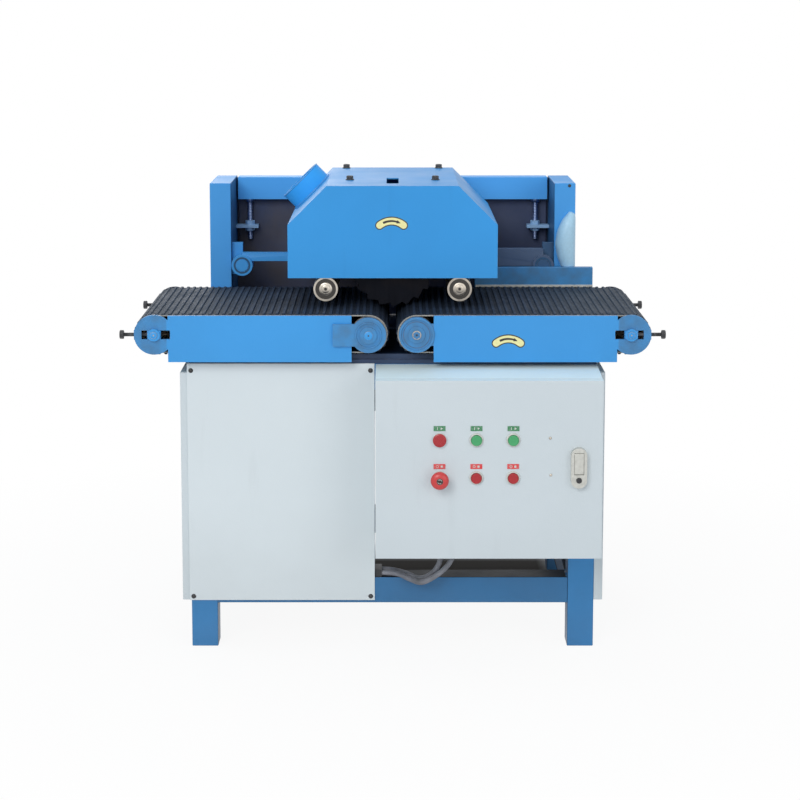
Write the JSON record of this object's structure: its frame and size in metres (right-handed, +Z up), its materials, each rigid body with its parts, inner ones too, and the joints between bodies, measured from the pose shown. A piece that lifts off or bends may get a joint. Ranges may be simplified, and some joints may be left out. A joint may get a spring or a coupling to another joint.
{
  "type": "multi rip saw",
  "caption": "Floor-standing multi rip saw: ribbed belt conveyors feed timber under a chamfered hood with gang blades, press rollers, lifting head and a control cabinet on a tube frame.",
  "frame": {"origin": "centre of the machine's bounding box, on the floor", "axes": "+X along the feed from the infeed to the outfeed, +Y from the control side to the rear, +Z up"},
  "size_m": [1.222, 1.103, 1.0811],
  "materials": {
    "blue_paint": "gloss",
    "white_paint": "satin",
    "black_fasteners": "satin",
    "zinc": "satin",
    "steel": "brushed",
    "belt_rubber": "matte",
    "dark_iron": "matte",
    "dark_steel": "matte",
    "black_plastic": "matte",
    "cable_rubber": "matte",
    "red_plastic": "gloss",
    "green_plastic": "gloss",
    "pale_plastic": "satin"
  },
  "bodies": {
    "base": {"legs": "blue_paint", "rails": "blue_paint", "deck_plate": "blue_paint", "left_cover": "white_paint", "side_trays": "white_paint", "cover_screws": "black_fasteners", "cabinet_body": "white_paint", "door_hinges": "zinc", "contactors": "black_plastic", "cable_glands": "black_plastic", "control_cables": "cable_rubber", "conveyor_plates": "blue_paint", "conveyor_beds": "steel", "feed_belts": "belt_rubber", "tension_bolts": "black_fasteners", "roller_bearings": "blue_paint", "feed_motor": "dark_iron", "feed_chain": "dark_steel", "gantry_posts": "blue_paint", "lift_lugs": "blue_paint", "arm_brackets": "blue_paint", "post_cover": "pale_plastic", "outfeed_fence": "blue_paint"},
    "door": {"cabinet_door": "white_paint", "power_lamp": "red_plastic", "button_bezels": "zinc", "contact_blocks": "black_plastic", "legend_plates": "green_plastic", "lock_body": "zinc"},
    "start_1": {"start_button_1": "green_plastic"},
    "start_2": {"start_button_2": "green_plastic"},
    "stop_1": {"stop_button_1": "red_plastic"},
    "stop_2": {"stop_button_2": "red_plastic"},
    "estop": {"emergency_stop": "red_plastic"},
    "lever": {"lock_lever": "zinc"},
    "lock_key": {"lock_button": "steel"},
    "infeed_drive": {"infeed_drive_roller": "steel", "infeed_sprocket": "dark_steel"},
    "outfeed_drive": {"outfeed_drive_roller": "steel", "outfeed_sprocket": "dark_steel"},
    "feed_sprocket": {"motor_sprocket": "dark_steel"},
    "infeed_slide": {"infeed_take_up": "blue_paint"},
    "outfeed_slide": {"outfeed_take_up": "blue_paint"},
    "infeed_idler": {"infeed_idler_roller": "steel"},
    "outfeed_idler": {"outfeed_idler_roller": "steel"},
    "head": {"head_beam": "blue_paint", "head_plate": "dark_steel", "hood": "blue_paint", "hood_bolts": "black_fasteners", "dust_port": "blue_paint", "arbor_housing": "dark_iron", "main_motor": "dark_iron"},
    "left_screw": {"left_lift_screw": "steel"},
    "right_screw": {"right_lift_screw": "steel"},
    "spindle": {"arbor": "steel", "saw_blades": "steel"},
    "infeed_arm": {"infeed_press_arm": "blue_paint"},
    "outfeed_arm": {"outfeed_press_arm": "blue_paint"},
    "infeed_presser": {"infeed_press_roller": "steel"},
    "outfeed_presser": {"outfeed_press_roller": "steel"}
  },
  "joints": [
    {"name": "door_swing", "type": "hinge", "parent": "base", "child": "door", "pos_m": [-0.031, -0.4995, 0.45], "axis": [0, 0, -1], "range_deg": [0, 100]},
    {"name": "start_1_press", "type": "slide", "parent": "door", "child": "start_1", "axis": [0, 1, 0], "range_m": [0, 0.003], "stiffness_N_per_m": 300},
    {"name": "start_2_press", "type": "slide", "parent": "door", "child": "start_2", "axis": [0, 1, 0], "range_m": [0, 0.003], "stiffness_N_per_m": 300},
    {"name": "stop_1_press", "type": "slide", "parent": "door", "child": "stop_1", "axis": [0, 1, 0], "range_m": [0, 0.003], "stiffness_N_per_m": 300},
    {"name": "stop_2_press", "type": "slide", "parent": "door", "child": "stop_2", "axis": [0, 1, 0], "range_m": [0, 0.003], "stiffness_N_per_m": 300},
    {"name": "estop_press", "type": "slide", "parent": "door", "child": "estop", "axis": [0, 1, 0], "range_m": [0, 0.005], "stiffness_N_per_m": 500},
    {"name": "lever_lift", "type": "hinge", "parent": "door", "child": "lever", "pos_m": [0.409, -0.5225, 0.487], "axis": [-1, 0, 0], "range_deg": [0, 60]},
    {"name": "lock_key_press", "type": "slide", "parent": "door", "child": "lock_key", "axis": [0, 1, 0], "range_m": [0, 0.002], "stiffness_N_per_m": 300},
    {"name": "infeed_drive_spin", "type": "hinge", "parent": "base", "child": "infeed_drive", "pos_m": [-0.054, -0.3865, 0.732], "axis": [0, 1, 0], "continuous": true},
    {"name": "outfeed_drive_spin", "type": "hinge", "parent": "base", "child": "outfeed_drive", "pos_m": [0.054, -0.3865, 0.732], "axis": [0, 1, 0], "continuous": true},
    {"name": "feed_sprocket_spin", "type": "hinge", "parent": "base", "child": "feed_sprocket", "pos_m": [0, 0.0615, 0.53], "axis": [0, 1, 0], "continuous": true},
    {"name": "infeed_take_up_slide", "type": "slide", "parent": "base", "child": "infeed_slide", "axis": [1, 0, 0], "range_m": [0, 0.02]},
    {"name": "outfeed_take_up_slide", "type": "slide", "parent": "base", "child": "outfeed_slide", "axis": [-1, 0, 0], "range_m": [0, 0.02]},
    {"name": "infeed_idler_spin", "type": "hinge", "parent": "infeed_slide", "child": "infeed_idler", "pos_m": [-0.534, -0.3865, 0.732], "axis": [0, 1, 0], "continuous": true},
    {"name": "outfeed_idler_spin", "type": "hinge", "parent": "outfeed_slide", "child": "outfeed_idler", "pos_m": [0.534, -0.3865, 0.732], "axis": [0, 1, 0], "continuous": true},
    {"name": "head_lift", "type": "slide", "parent": "base", "child": "head", "axis": [0, 0, 1], "range_m": [0, 0.02]},
    {"name": "left_screw_turn", "type": "hinge", "parent": "head", "child": "left_screw", "pos_m": [-0.363, 0.2555, 0.9], "axis": [0, 0, 1], "range_deg": [0, 1800]},
    {"name": "right_screw_turn", "type": "hinge", "parent": "head", "child": "right_screw", "pos_m": [0.363, 0.2555, 0.9], "axis": [0, 0, 1], "range_deg": [0, 1800]},
    {"name": "spindle_spin", "type": "hinge", "parent": "head", "child": "spindle", "pos_m": [0, -0.2985, 0.871], "axis": [0, 1, 0], "continuous": true},
    {"name": "infeed_arm_swing", "type": "hinge", "parent": "base", "child": "infeed_arm", "pos_m": [-0.37, 0.0585, 0.827], "axis": [0, -1, 0], "range_deg": [0, 10], "stiffness_Nm_per_rad": 100, "springref_deg": -5.73},
    {"name": "outfeed_arm_swing", "type": "hinge", "parent": "base", "child": "outfeed_arm", "pos_m": [0.37, 0.0585, 0.827], "axis": [0, 1, 0], "range_deg": [0, 10], "stiffness_Nm_per_rad": 100, "springref_deg": -5.73},
    {"name": "infeed_presser_spin", "type": "hinge", "parent": "infeed_arm", "child": "infeed_presser", "pos_m": [-0.153, -0.2985, 0.82], "axis": [0, 1, 0], "continuous": true},
    {"name": "outfeed_presser_spin", "type": "hinge", "parent": "outfeed_arm", "child": "outfeed_presser", "pos_m": [0.153, -0.2985, 0.82], "axis": [0, 1, 0], "continuous": true}
  ],
  "couplings": [
    {"joint": "outfeed_drive_spin", "follows": "infeed_drive_spin", "ratio": 1},
    {"joint": "feed_sprocket_spin", "follows": "infeed_drive_spin", "ratio": 1},
    {"joint": "infeed_idler_spin", "follows": "infeed_drive_spin", "ratio": 1},
    {"joint": "outfeed_idler_spin", "follows": "infeed_drive_spin", "ratio": 1},
    {"joint": "left_screw_turn", "follows": "head_lift", "rad_per_m": 1570.8},
    {"joint": "right_screw_turn", "follows": "head_lift", "rad_per_m": 1570.8}
  ]
}
